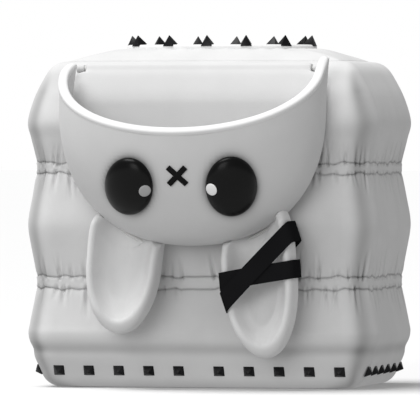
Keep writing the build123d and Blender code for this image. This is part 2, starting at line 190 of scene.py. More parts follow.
def lay(obj: bpy.types.Object, places: np.ndarray) -> None:
    """Move obj's vertices to the places."""
    obj.data.vertices.foreach_set("co", np.ascontiguousarray(places, dtype=float).ravel())


def boxier(value: np.ndarray, power: float) -> np.ndarray:
    """A sine or cosine raised to a power below 1, sign kept, which squares a round outline."""
    return np.sign(value) * np.abs(value) ** power


def two_faced(row: np.ndarray, rows: int) -> tuple[np.ndarray, np.ndarray]:
    """Fold a panel's rows in two, so that it makes a front face and a back face.

    Args:
        row: Row numbers of the unfolded panel, from 0 to 2 * rows + 2.
        rows: Faces across the folded panel.

    Returns:
        Each point's row on the folded panel, and whether it lies on the back face.
    """
    row = row % (2 * rows + 2)
    behind = row > rows
    return np.where(behind, 2 * rows + 1 - row, row), behind


def wrap_panel(name: str, columns: int, rows: int, place: Place) -> bpy.types.Object:
    """Cut a flat panel of cloth and lay each of its points where place says.

    Args:
        name: The piece's name.
        columns: Faces along the panel.
        rows: Faces across it.
        place: Turns shares along (0 to 1) and row numbers (0 to rows) into places in metres.

    Returns:
        The closed piece, with its doubles merged and its faces outwards.
    """
    deselect()
    bpy.ops.mesh.primitive_grid_add(x_subdivisions=columns, y_subdivisions=rows, size=1.0, calc_uvs=True)
    obj = added(name)
    flat = places_of(obj) + 0.5
    lay(obj, place(flat[:, 0], np.rint(flat[:, 1] * rows)))
    outward(obj)
    smooth(obj)
    return obj


def smooth_path(points: list[tuple[float, float]], count: int) -> np.ndarray:
    """A smooth open line through the points, evenly spaced.

    Args:
        points: The corners that the line passes through.
        count: Spans along the line.

    Returns:
        An array of count + 1 places.
    """
    given = np.array(points, float)
    padded = np.vstack([2 * given[0] - given[1], given, 2 * given[-1] - given[-2]])
    fine = []
    for i in range(len(given) - 1):
        p0, p1, p2, p3 = padded[i : i + 4]
        t = np.linspace(0, 1, 24, endpoint=False)[:, None]
        square, cube = 2 * p0 - 5 * p1 + 4 * p2 - p3, 3 * p1 - p0 - 3 * p2 + p3
        fine.append(0.5 * (2 * p1 + (p2 - p0) * t + square * t**2 + cube * t**3))
    line = np.vstack([*fine, given[-1:]])
    along = np.concatenate([[0], np.cumsum(np.linalg.norm(np.diff(line, axis=0), axis=1))])
    even = np.linspace(0, along[-1], count + 1)
    return np.stack([np.interp(even, along, line[:, k]) for k in range(2)], -1)


# ---------------------------------------------------------------- finishes


@dataclass(frozen=True)
class Finish:
    """A surface finish: its colour, how it shines, and the fine relief of its weave or grain."""

    name: str
    colour: tuple[float, float, float]
    roughness: float = 0.85
    sheen: float = 0.0
    coat: float = 0.0
    grain_mm: float = 0.8
    grain_depth: float = 0.15
    mottle_mm: float = 30.0
    mottle: float = 0.03
    specular: float = 0.35

    def material(self) -> bpy.types.Material:
        """The finish's material, made once."""
        name = f"{self.name}_finish"
        made = bpy.data.materials.get(name)
        if made is None:
            made = bpy.data.materials.new(name)
            made.use_nodes = True
            self.dress(made.node_tree)
        return made

    def dress(self, tree: bpy.types.NodeTree) -> None:
        """Build the finish's nodes in tree."""
        nodes, links = tree.nodes, tree.links
        shader = nodes["Principled BSDF"]
        shader.inputs["Roughness"].default_value = self.roughness
        shader.inputs["Sheen Weight"].default_value = self.sheen
        shader.inputs["Sheen Roughness"].default_value = 0.5
        shader.inputs["Coat Weight"].default_value = self.coat
        shader.inputs["Coat Roughness"].default_value = 0.06
        shader.inputs["Specular IOR Level"].default_value = self.specular
        where = nodes.new("ShaderNodeTexCoord")
        links.new(self.colour_socket(tree, where), shader.inputs["Base Color"])
        links.new(self.relief_socket(tree, where), shader.inputs["Normal"])

    def colour_socket(self, tree: bpy.types.NodeTree, where: bpy.types.Node) -> bpy.types.NodeSocket:
        """Colour with slow, faint variation over the surface."""
        noise = tree.nodes.new("ShaderNodeTexNoise")
        noise.inputs["Scale"].default_value = 1 / (self.mottle_mm * MM)
        noise.inputs["Detail"].default_value = 3.0
        tree.links.new(where.outputs["Object"], noise.inputs["Vector"])
        ramp = tree.nodes.new("ShaderNodeValToRGB")
        dark = tuple(c * (1 - self.mottle * 2) for c in self.colour)
        light = tuple(min(1.0, c * (1 + self.mottle)) for c in self.colour)
        ramp.color_ramp.elements[0].position = 0.35
        ramp.color_ramp.elements[1].position = 0.65
        ramp.color_ramp.elements[0].color = (*dark, 1)
        ramp.color_ramp.elements[1].color = (*light, 1)
        tree.links.new(noise.outputs["Fac"], ramp.inputs["Fac"])
        return ramp.outputs["Color"]

    def relief_socket(self, tree: bpy.types.NodeTree, where: bpy.types.Node) -> bpy.types.NodeSocket:
        """Bump of a fine grain."""
        noise = tree.nodes.new("ShaderNodeTexNoise")
        noise.inputs["Scale"].default_value = 1 / (self.grain_mm * MM)
        noise.inputs["Detail"].default_value = 2.0
        tree.links.new(where.outputs["Object"], noise.inputs["Vector"])
        bump = tree.nodes.new("ShaderNodeBump")
        bump.inputs["Strength"].default_value = self.grain_depth
        bump.inputs["Distance"].default_value = self.grain_mm * MM
        tree.links.new(noise.outputs["Fac"], bump.inputs["Height"])
        return bump.outputs["Normal"]

    def on(self, obj: bpy.types.Object) -> None:
        """Put the finish on obj, in place of any other."""
        obj.data.materials.clear()
        obj.data.materials.append(self.material())


@dataclass(frozen=True)
class ShadePaintedCloth(Finish):
    """Cloth darkened by painted shade along its stitched lines and pinches and round the hood's eyes, by as
    much as the mesh's shade attribute holds.
    """

    # Colour that the painted shade mixes the cloth towards.
    painted_shade_colour: tuple[float, float, float] = (0.16, 0.16, 0.16)

    def colour_socket(self, tree: bpy.types.NodeTree, where: bpy.types.Node) -> bpy.types.NodeSocket:
        """The plain cloth's colour, mixed towards the dark painted shade colour by the shade attribute."""
        plain = super().colour_socket(tree, where)
        # Painted shade: the attribute mixes the cloth's colour towards the dark shade colour.
        painted_shade = tree.nodes.new("ShaderNodeAttribute")
        painted_shade.attribute_name = "painted_shade"
        mix = tree.nodes.new("ShaderNodeMix")
        mix.data_type = "RGBA"
        mix.inputs["B"].default_value = (*self.painted_shade_colour, 1)
        tree.links.new(painted_shade.outputs["Fac"], mix.inputs["Factor"])
        tree.links.new(plain, mix.inputs["A"])
        return mix.outputs["Result"]


# QUILT and HOOD darken towards their shade colour by the mesh's shade attribute: painted shade in the quilt's
# seams and pinches, and round the hood's eyes.
QUILT = ShadePaintedCloth("quilt_cloth", (0.72, 0.72, 0.72), roughness=0.8, sheen=0.1, grain_depth=0.12,
                     mottle=0.015)
HOOD = ShadePaintedCloth("hood_cloth", (0.71, 0.71, 0.71), roughness=0.7, sheen=0.15, grain_depth=0.10,
                    mottle=0.01, painted_shade_colour=(0.03, 0.03, 0.03))
EAR = ShadePaintedCloth("ear_cloth", (0.80, 0.80, 0.80), roughness=0.7, sheen=0.15, grain_depth=0.12, mottle=0.015)
BINDING = Finish("binding_cloth", (0.84, 0.84, 0.84), roughness=0.75, sheen=0.2, grain_mm=0.6, mottle=0.01)
QUILT_PLAIN = Finish("tab_cloth", (0.72, 0.72, 0.72), roughness=0.8, sheen=0.1, grain_depth=0.12,
                     mottle=0.015)
LINING = Finish("lining_cloth", (0.70, 0.70, 0.71), roughness=0.8, grain_mm=0.5, mottle=0.03)
CORD = Finish("cord_core", (0.76, 0.76, 0.75), roughness=0.9, grain_mm=0.7, grain_depth=0.4)
STUD = Finish("black_stud", (0.008, 0.008, 0.009), roughness=0.35, grain_mm=1.5, grain_depth=0.04, mottle=0.2,
              specular=0.15)
EYE = Finish("black_gloss", (0.003, 0.003, 0.003), roughness=0.28, grain_mm=6.0, grain_depth=0.01, mottle=0.1,
             specular=0.12)
# The glints are painted highlights, which the toy's eyes carry as discs; the grey one on the left eye is a
# shaded copy of the white one, painted shade.
GLINT_WHITE = Finish("white_gloss", (0.92, 0.92, 0.92), roughness=0.35, coat=0.3, grain_depth=0.02)
GLINT_PAINTED_SHADE = Finish("grey_gloss", (0.42, 0.42, 0.42), roughness=0.35, coat=0.3, grain_depth=0.02)
FELT = Finish("black_felt", (0.010, 0.010, 0.010), roughness=0.95, grain_mm=0.5, grain_depth=0.5,
              specular=0.1)
WEBBING = Finish("black_webbing", (0.013, 0.013, 0.014), roughness=0.85, grain_mm=0.9, grain_depth=0.4,
                 specular=0.0)
WASHER = Finish("washer_plastic", (0.75, 0.75, 0.74), roughness=0.5, grain_mm=1.2, grain_depth=0.05)


def dress_and_ride(obj: bpy.types.Object, finish: Finish, body: str, slot: str, *nodes: str) -> None:
    """Give a finished piece its finish and body, and let it stand for its CAD nodes."""
    finish.on(obj)
    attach(obj, body)
    if nodes:
        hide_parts(*nodes)
    LOG.info("%s rides on %s, %d faces", obj.name, body, len(obj.data.polygons))


def mark_painted_shade(obj: bpy.types.Object, depth: Callable[[np.ndarray], np.ndarray]) -> None:
    """Store how dark the painted shade is at each point, from 0 to 1, as the mesh's shade attribute."""
    attribute = obj.data.attributes.new("painted_shade", "FLOAT", "POINT")
    attribute.data.foreach_set("value", np.clip(depth(places_of(obj)), 0, 1))


def no_painted_shade(places: np.ndarray) -> np.ndarray:
    """No painted shade at any place."""
    return np.zeros(len(places))


# ---------------------------------------------------------------- the quilted bag


@dataclass
class BagOutline:
    """The bag's rounded outline at its gathered waists, walked round from the middle of the back."""

    half_width: float
    half_depth: float
    corner: float = 22.0 * MM
    tightest: float = 4.0 * MM

    def length(self) -> float:
        """Distance once round the outline."""
        return 4 * (self.half_width + self.half_depth - 2 * self.corner) + 2 * math.pi * self.corner

    def corners(self) -> list[float]:
        """Distances round the outline of the middles of its four corners."""
        arc = math.pi * self.corner / 2
        across, deep = 2 * (self.half_width - self.corner), 2 * (self.half_depth - self.corner)
        first = across / 2 + arc / 2
        second = first + arc + deep
        third = second + arc + across
        return [first, second, third, third + arc + deep]

    def at(self, share: np.ndarray, inset: np.ndarray) -> np.ndarray:
        """Places on the outline drawn inside itself.

        Args:
            share: How far round each point is, from 0 to 1.
            inset: How far inside the waist outline each point lies.

        Returns:
            An array of x and y.
        """
        across, deep = self.half_width - inset, self.half_depth - inset
        corner = np.maximum(self.corner - inset, self.tightest)
        arc = math.pi * self.corner / 2
        flat_x, flat_y = 2 * (self.half_width - self.corner), 2 * (self.half_depth - self.corner)
        lengths = [flat_x / 2, arc, flat_y, arc, flat_x, arc, flat_y, arc, flat_x / 2]
        ends = np.cumsum([0.0, *lengths])
        distance = np.clip(share, 0, 1) * ends[-1]
        leg = np.clip(np.searchsorted(ends, distance, side="right") - 1, 0, 8)
        t = (distance - ends[leg]) / np.array(lengths)[leg]
        cx, cy = across - corner, deep - corner
        x, y = np.zeros_like(t), np.zeros_like(t)
        # Straight legs: back half, right, front, left, back half; arcs turn between them
        straights = {
            0: (lambda k: t[k] * cx[k], lambda k: deep[k]),
            2: (lambda k: across[k], lambda k: cy[k] * (1 - 2 * t[k])),
            4: (lambda k: cx[k] * (1 - 2 * t[k]), lambda k: -deep[k]),
            6: (lambda k: -across[k], lambda k: cy[k] * (2 * t[k] - 1)),
            8: (lambda k: -cx[k] * (1 - t[k]), lambda k: deep[k]),
        }
        for number, (fx, fy) in straights.items():
            k = leg == number
            x[k], y[k] = fx(k), fy(k)
        for number, sx, sy, start in ((1, 1, 1, 90), (3, 1, -1, 0), (5, -1, -1, -90), (7, -1, 1, -180)):
            k = leg == number
            angle = np.radians(start - 90 * t[k])
            x[k] = sx * cx[k] + corner[k] * np.cos(angle)
            y[k] = sy * cy[k] + corner[k] * np.sin(angle)
        return np.stack([x, y], -1)


def neck_ring(angle: np.ndarray, half: tuple[float, float]) -> np.ndarray:
    """Places on the neck's full oval, as x and y from its centre.

    Args:
        angle: Turn round the neck from its right end.
        half: The oval's half width and half depth.

    Returns:
        An array of x and y.
    """
    c, s = np.cos(angle), np.sin(angle)
    return np.stack([half[0] * boxier(c, NECK_FULLNESS), half[1] * boxier(s, NECK_FULLNESS)], -1)


@dataclass(frozen=True)
class Pinch:
    """One short fold of cloth that runs away from a gathered line."""

    along: float
    depth: float
    width: float
    length: float
    lean: float


@dataclass
class GatherLine:
    """A gathered seam round the bag, with the pinches that it pulls into the cloth on one side of it."""

    height: float
    away: int
    around: float
    seed: int
    spacing: float = 10.0 * MM
    depth: float = 3.2 * MM
    plain_from: float = 1.0
    plain_to: float = -1.0
    pinches: list[Pinch] = field(default_factory=list)

    def __post_init__(self) -> None:
        """Draw the pinches, but for the plain stretch."""
        draw = random.Random(self.seed)
        along = draw.uniform(0, self.spacing)
        while along < self.around:
            if not self.plain_from < along / self.around < self.plain_to:
                strong = draw.random() ** 1.6
                self.pinches.append(
                    Pinch(
                        along,
                        self.depth * (0.35 + 0.65 * strong),
                        draw.uniform(0.9, 1.7) * MM,
                        draw.uniform(6, 12) * MM + 19 * MM * strong,
                        draw.uniform(-0.18, 0.18),
                    )
                )
            along += self.spacing * draw.uniform(0.35, 1.75)

    def wander(self, distance: np.ndarray) -> np.ndarray:
        """How far the seam wanders up or down at each distance round the bag."""
        turn = 2 * math.pi * distance / self.around
        swings = ((9, 0.45), (23, 0.6), (41, 0.55), (67, 0.45))
        waves = sum(np.sin(turn * k + self.seed * k) * size for k, size in swings)
        share = distance / self.around
        quiet = np.where((share > self.plain_from) & (share < self.plain_to), 0.2, 1.0)
        return waves * quiet * MM

    def fold(self, distance: np.ndarray, height: np.ndarray) -> np.ndarray:
        """How far the pinches pull each point of the cloth inwards."""
        off = (height - self.height) * self.away
        pulled = np.zeros_like(distance)
        for pinch in self.pinches:
            near = (off > -2 * MM) & (off < pinch.length)
            near &= np.abs(distance - pinch.along) < 6 * pinch.width + pinch.length * 0.2
            if near.any():
                across = (distance[near] - pinch.along - pinch.lean * off[near]) / pinch.width
                fade = (1 - np.clip(off[near] / pinch.length, 0, 1)) ** 1.3
                ridge = 0.35 * np.exp(-((np.abs(across) - 2.2) ** 2) / 1.2)
                pulled[near] += pinch.depth * fade * (np.exp(-(across**2)) - ridge)
        return pulled


class BagPart(Enum):
    """The bag's soft pieces, from the hem up."""

    LOWER = "lower_tier"
    LOWER_BAND = "lower_gather_band"
    MIDDLE = "middle_tier"
    UPPER_BAND = "upper_gather_band"
    UPPER = "upper_tier"


@dataclass
class QuiltedBag:
    """The bag: three swollen tiers, two gathered bands, the hem, the yoke and the collar."""

    swell: float = 8.0 * MM
    quilt: float = 14.0 * MM
    seam_sink: float = 0.7 * MM
    columns: int = 1080
    corner_seam: float = 2.6 * MM
    corner_seam_reach: float = 7.5 * MM
    hem_seam: float = 1.6 * MM
    hem_seam_rise: float = 4.0 * MM
    hem_seam_reach: float = 5.0 * MM
    shoulder_plain: float = 8.0 * MM
    shoulder_fade: float = 20.0 * MM
    # Painted shade: these darken the cloth along the gathered seams, down the pinches, over the hem seam and
    # down the corners, where shade falls in the sunk cloth.
    stitch_shade: float = 0.36
    stitch_shade_reach: float = 1.0 * MM
    pinch_shade: float = 0.34
    hem_shade: float = 0.3
    corner_shade: float = 0.46
    corner_shade_reach: float = 9.0 * MM
    wander_reach: float = 4.0 * MM
    outline: BagOutline = field(init=False)
    levels: dict[str, float] = field(init=False)
    lines: dict[str, GatherLine] = field(init=False)

    def __post_init__(self) -> None:
        """Read the bag's outline and levels from the frame, and draw its gathered lines."""
        band_low, band_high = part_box("lower_gather_band")
        upper_low, upper_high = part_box("upper_gather_band")
        self.outline = BagOutline(band_high.x, band_high.y)
        self.levels = {
            "hem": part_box("hem_cuff")[1].z,
            "lower_band": band_low.z,
            "middle": band_high.z,
            "upper_band": upper_low.z,
            "upper": upper_high.z,
            "shoulder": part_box("upper_tier")[1].z,
        }
        around = self.outline.length()
        plain = {"plain_from": 0.484, "plain_to": 0.515}
        self.lines = {
            "lower_band": GatherLine(self.levels["lower_band"], -1, around, 5, **plain),
            "middle": GatherLine(self.levels["middle"], 1, around, 12, **plain),
            "upper_band": GatherLine(self.levels["upper_band"], -1, around, 31),
            "upper": GatherLine(self.levels["upper"], 1, around, 47),
        }

    def profile(self, part: BagPart) -> tuple[list[tuple[float, float]], list[tuple[float, float]]]:
        """The outer and the inner line of a part's section, each as insets and heights."""
        at, sink, swell, inner = self.levels, self.seam_sink, self.swell, self.quilt
        if part is BagPart.LOWER:
            top, hem = at["lower_band"], at["hem"]
            outer = [
                (24 * MM, 0.0), (17 * MM, 0.6 * MM), (11 * MM, 3.4 * MM), (6.4 * MM, 8 * MM),
                (2.6 * MM, 16 * MM), (-3.6 * MM, hem), (-0.97 * swell, hem + 16 * MM),
                (-0.8 * swell, hem + 27 * MM),
                (-1.3 * MM, top - 6 * MM), (sink, top),
            ]
            return outer, [(inner, top - MM), (inner, hem), (30 * MM, hem - 2 * MM), (30 * MM, MM)]
        if part is BagPart.MIDDLE:
            low, high = at["middle"], at["upper_band"]
            outer = [
                (sink, low), (-1.3 * MM, low + 6 * MM), (-0.56 * swell, low + 22 * MM),
                (-0.96 * swell, (low + high) / 2 - 6 * MM), (-0.96 * swell, (low + high) / 2 + 6 * MM),
                (-0.56 * swell, high - 22 * MM), (-1.3 * MM, high - 6 * MM), (sink, high),
            ]
            return outer, [(inner, high - MM), (inner, low + MM)]
        if part is BagPart.UPPER:
            low, high = at["upper"], at["shoulder"]
            outer = [
                (sink, low), (-1.4 * MM, low + 7 * MM), (-0.66 * swell, low + 22 * MM),
                (-1.04 * swell, low + 37 * MM), (-2.5 * MM, low + 58 * MM), (6.0 * MM, high - 16 * MM),
                (12.5 * MM, high - 6.5 * MM),
                (20 * MM, high - 1.4 * MM), (28 * MM, high),
            ]
            return outer, [(28 * MM, high - 12 * MM), (inner, high - 13 * MM), (inner, low + MM)]
        ends = ("lower_band", "middle") if part is BagPart.LOWER_BAND else ("upper_band", "upper")
        low, high = (at[end] for end in ends)
        outer = [(sink, low), (0.0, low + 2.0 * MM), (0.0, high - 2.0 * MM), (sink, high)]
        return outer, [(inner, high), (inner, low)]

    def drape(self, share: np.ndarray, inset: np.ndarray, height: np.ndarray, worn: np.ndarray) -> np.ndarray:
        """Lay cloth on the outline, with its gathered lines wandering and pinched.

        Args:
            share: How far round the bag each point is.
            inset: How far inside the waist outline the smooth cloth would lie.
            height: Its height.
            worn: 1 on the outer face, 0 inside.

        Returns:
            The places, in metres.
        """
        distance = share * self.outline.length()
        moved, pulled = np.zeros_like(height), np.zeros_like(height)
        for line in self.lines.values():
            near = np.exp(-(((height - line.height) / self.wander_reach) ** 2))
            moved += line.wander(distance) * near
            pulled += line.fold(distance, height)
        pulled += self.seams(distance, height)
        xy = self.outline.at(share, inset + pulled * worn)
        return np.column_stack([xy, height + moved * worn])

    def seams(self, distance: np.ndarray, height: np.ndarray) -> np.ndarray:
        """How far the soft seams down the corners and round the hem pull the cloth inwards."""
        return self.hem_seam * self.near_hem(height) + self.corner_seam * self.near_corner(
            distance, height, self.corner_seam_reach
        )

    def near_hem(self, height: np.ndarray) -> np.ndarray:
        """How near each height is to the hem's seam, from 0 to 1."""
        return np.exp(-(((height - self.levels["hem"] - self.hem_seam_rise) / self.hem_seam_reach) ** 2))

    def near_corner(self, distance: np.ndarray, height: np.ndarray, reach: float) -> np.ndarray:
        """How near each point is to a corner's seam, which fades out below the shoulder.

        Args:
            distance: Distances round the outline.
            height: Heights.
            reach: How far to either side the seam's pull reaches.

        Returns:
            Shares from 0 to 1.
        """
        fade = np.clip((self.levels["shoulder"] - self.shoulder_plain - height) / self.shoulder_fade, 0, 1)
        return fade * sum(np.exp(-(((distance - corner) / reach) ** 2)) for corner in self.outline.corners())

    def painted_shade(self, places: np.ndarray) -> np.ndarray:
        """How dark the painted shade is at each place: along the seams, down the pinches, along the hem seam
        and down the corners.
        """
        dark = np.zeros(len(places))
        distance = self.walk(places)
        for line in self.lines.values():
            off = places[:, 2] - line.height - line.wander(distance)
            dark += self.stitch_shade * np.exp(-((off / self.stitch_shade_reach) ** 2))
            dark += self.pinch_shade * np.clip(line.fold(distance, places[:, 2]) / line.depth, 0, 1)
        dark += self.hem_shade * self.near_hem(places[:, 2])
        return dark + self.corner_shade * self.near_corner(distance, places[:, 2], self.corner_shade_reach)

    def walk(self, places: np.ndarray) -> np.ndarray:
        """Distance round the waist outline of the point nearest to each place."""
        shares = np.linspace(0, 1, 4001)
        ring = self.outline.at(shares, np.zeros_like(shares))
        wide, deep = self.outline.half_width, self.outline.half_depth
        angle = np.unwrap(np.arctan2(ring[:, 0] / wide, ring[:, 1] / deep))
        here = np.arctan2(places[:, 0] / wide, places[:, 1] / deep)
        return np.interp(np.mod(here, 2 * math.pi), angle, shares) * self.outline.length()

    def build_part(self, part: BagPart) -> None:
        """Model one ring of the bag as a closed, padded piece."""
        outer, inner = self.profile(part)
        rows_out = max(6, int(sum(math.dist(a, b) for a, b in zip(outer, outer[1:])) / (1.9 * MM)))
        section = np.vstack([smooth_path(outer, rows_out), np.array(inner), [outer[0]]])
        worn = np.zeros(len(section))
        worn[: rows_out + 1] = 1.0
        rows = len(section) - 1
        if part in (BagPart.LOWER_BAND, BagPart.UPPER_BAND):
            worn[:] = 1.0

        def place(share: np.ndarray, row: np.ndarray) -> np.ndarray:
            """Where a point of the panel lies on the ring."""
            k = row.astype(int) % rows
            return self.drape(share, section[k, 0], section[k, 1], worn[k])

        piece = wrap_panel(f"{part.value}_cover", self.columns, rows, place)
        # Paint shade into the cloth's colour along its seams, pinches, hem and corners.
        mark_painted_shade(piece, self.painted_shade)
        nodes = [part.value, "hem_cuff"] if part is BagPart.LOWER else [part.value]
        dress_and_ride(piece, QUILT, "bag", "quilt_cloth", *nodes)

    def build_yoke(self) -> None:
        """Model the low mound from the shoulder up to the neck, with soft radial gathers."""
        low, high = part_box("top_yoke")
        collar_low, collar_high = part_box("collar_band")
        centre_y = (collar_low.y + collar_high.y) / 2
        neck = ((collar_high.x - collar_low.x) / 2 + 0.3 * MM, (collar_high.y - collar_low.y) / 2 + 0.3 * MM)
        rim_inset, base = 28.3 * MM, self.levels["shoulder"]
        rows_out, thick = 22, 5 * MM
        pleats, pleat_depth, pleat_reach = 34, 0.5 * MM, 0.35

        def place(share: np.ndarray, row: np.ndarray) -> np.ndarray:
            """Where a point of the panel lies on the mound, outer face first and back underneath."""
            k, under = two_faced(row, rows_out)
            t = k / rows_out
            rim = self.outline.at(share, np.full_like(share, rim_inset))
            angle = np.arctan2(rim[:, 1] / neck[1], rim[:, 0] / neck[0])
            ring = neck_ring(angle, neck) + np.array([0, centre_y])
            xy = rim * (1 - t)[:, None] + ring * t[:, None]
            pleat = pleat_depth * np.sin(angle * pleats) * np.exp(-(((t - 1) / pleat_reach) ** 2))
            z = base + (high.z - base) * np.sin(t * math.pi / 2) ** 0.9 + pleat - thick * under
            return np.column_stack([xy, z])

        piece = wrap_panel("yoke_cover", 480, 2 * rows_out + 2, place)
        mark_painted_shade(piece, no_painted_shade)
        dress_and_ride(piece, QUILT, "bag", "quilt_cloth", "top_yoke")

    def build_collar(self) -> None:
        """Model the collar as a firm stuffed roll round the neck."""
        low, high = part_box("collar_band")
        centre = (low + high) / 2
        half = (high - low) / 2
        thick, rows, squareness = 4.5 * MM, 20, 0.5

        def place(share: np.ndarray, row: np.ndarray) -> np.ndarray:
            """Where a point of the panel lies round the roll."""
            angle, turn = 2 * math.pi * share, 2 * math.pi * row / rows
            c, s = np.cos(turn), np.sin(turn)
            across, up = thick * boxier(c, squareness), half.z * boxier(s, squareness)
            line = neck_ring(angle, (half.x - thick, half.y - thick))
            out = np.column_stack([line[:, 0] / half.x**2, line[:, 1] / half.y**2])
            line = line + out / np.linalg.norm(out, axis=1)[:, None] * across[:, None]
            return np.column_stack([centre.x + line[:, 0], centre.y + line[:, 1], centre.z + up])

        piece = wrap_panel("collar_roll", 320, rows, place)
        dress_and_ride(piece, BINDING, "bag", "hem_cloth", "collar_band")

    def build_lining(self) -> None:
        """Model the bag's lining as a loose sleeve just inside the quilting."""
        low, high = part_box("body_lining")
        outside, thick, rows = self.outline.half_width - high.x, 2 * MM, 48
        depth, folds = 0.9 * MM, 38

        def place(share: np.ndarray, row: np.ndarray) -> np.ndarray:
            """Where a point of the panel lies, outer face first and back down inside."""
            k, inside = two_faced(row, rows)
            t = k / rows
            z = low.z + (high.z - low.z) * t
            ripple = depth * np.sin(share * 2 * math.pi * folds + 3 * np.sin(t * 5)) * np.sin(t * math.pi)
            xy = self.outline.at(share, outside + thick * inside + np.abs(ripple) * 0.8)
            return np.column_stack([xy, z])

        piece = wrap_panel("bag_lining", 480, 2 * rows + 2, place)
        dress_and_ride(piece, LINING, "bag", "lining_cloth", "body_lining")

    def build(self) -> None:
        """Model the whole bag."""
        for part in BagPart:
            self.build_part(part)
        self.build_yoke()
        self.build_collar()
        self.build_lining()


# ---------------------------------------------------------------- studs and spikes


@dataclass
class Pyramids:
    """Square black pyramids with softened edges, for the hem and the collar."""

    size: float = 10.2 * MM
    edge: float = 0.3 * MM

    def one(self, seat: Matrix, height: float) -> bpy.types.Object:
        """Model a pyramid on its seat.

        Args:
            seat: Its place and turn, with z outwards and x along a side.
            height: From its foot to its tip.

        Returns:
            The pyramid.
        """
        deselect()
        bpy.ops.mesh.primitive_cone_add(
            vertices=4, radius1=self.size / math.sqrt(2), radius2=0.0, depth=height,
            location=(0, 0, height / 2), rotation=(0, 0, math.pi / 4),
        )
        stud = added("pyramid")
        settle(stud)
        apply_modifier(stud, "BEVEL", width=self.edge, segments=2, limit_method="ANGLE", angle_limit=0.3)
        stud.data.transform(seat)
        stud.data.update()
        return stud

    def group(self, node: str, name: str, seats: list[Matrix], height: float) -> None:
        """Model one row or ring of pyramids in place of its CAD node."""
        piece = joined([self.one(seat, height) for seat in seats], name)
        smooth(piece, 25.0)
        dress_and_ride(piece, STUD, "bag", "black_stud", node)


def seat_matrix(place: Vector, along: Vector, out: Vector) -> Matrix:
    """A seat at place with x along and z out."""
    z = out.normalized()
    x = (along - z * along.dot(z)).normalized()
    turn = Matrix((x, z.cross(x), z)).transposed()
    return Matrix.Translation(place) @ turn.to_4x4()


@dataclass
class StudRows:
    """The studs round the hem and the spikes round the collar."""

    pitch: float = 27.4 * MM
    centre_gap: float = 36.7 * MM
    stud_height: float = 5.5 * MM
    spike_height: float = 9.5 * MM
    slope: float = math.radians(23.2)
    level: float = 15.33 * MM
    inset: float = 3.27 * MM
    spikes: int = 12
    spike_start: float = 0.08
    lean: float = math.radians(12)
    proud: float = 0.1 * MM

    def hem(self, outline: BagOutline, studs: Pyramids) -> None:
        """Set the four rows of studs on the hem's sloping face."""
        deep = outline.half_depth - self.inset + self.proud
        across = outline.half_width - self.inset + self.proud
        long_places = [self.centre_gap / 2 + self.pitch * i for i in range(5)]
        long_places = [-x for x in long_places] + long_places
        short_places = [self.pitch * (i - 2.5) for i in range(6)]
        for name, aside, ahead in (("front", 0, -1), ("back", 0, 1), ("left", -1, 0), ("right", 1, 0)):
            out = Vector((aside * math.cos(self.slope), ahead * math.cos(self.slope), -math.sin(self.slope)))
            along = Vector((1, 0, 0)) if ahead else Vector((0, 1, 0))
            middle = Vector((aside * across, ahead * deep, self.level))
            places = long_places if ahead else short_places
            seats = [seat_matrix(middle + along * distance, along, out) for distance in places]
            studs.group(f"hem_studs_{name}", f"studs_{name}", seats, self.stud_height)

    def collar(self, studs: Pyramids) -> None:
        """Set the ring of spikes on the collar, leaning outwards."""
        low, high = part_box("collar_band")
        centre, half = (low + high) / 2, (high - low) / 2 - Vector((4.5, 4.5, 0)) * MM
        angles = np.linspace(0, 2 * math.pi, 7201)
        ring = neck_ring(angles, (half.x, half.y))
        along = np.concatenate([[0], np.cumsum(np.linalg.norm(np.diff(ring, axis=0), axis=1))])
        seats = []
        for i in range(self.spikes):
            distance = along[-1] * ((i - self.spike_start) / self.spikes % 1.0)
            x, y = (float(np.interp(distance, along, ring[:, k])) for k in range(2))
            outwards = Vector((x / half.x**2, y / half.y**2, 0)).normalized()
            place = Vector((centre.x + x, centre.y + y, high.z - 0.5 * MM))
            out = outwards * math.sin(self.lean) + Vector((0, 0, math.cos(self.lean)))
            seats.append(seat_matrix(place, Vector((0, 0, 1)).cross(outwards), out))
        studs.group("collar_spikes", "spikes_collar", seats, self.spike_height)


# ---------------------------------------------------------------- the hood


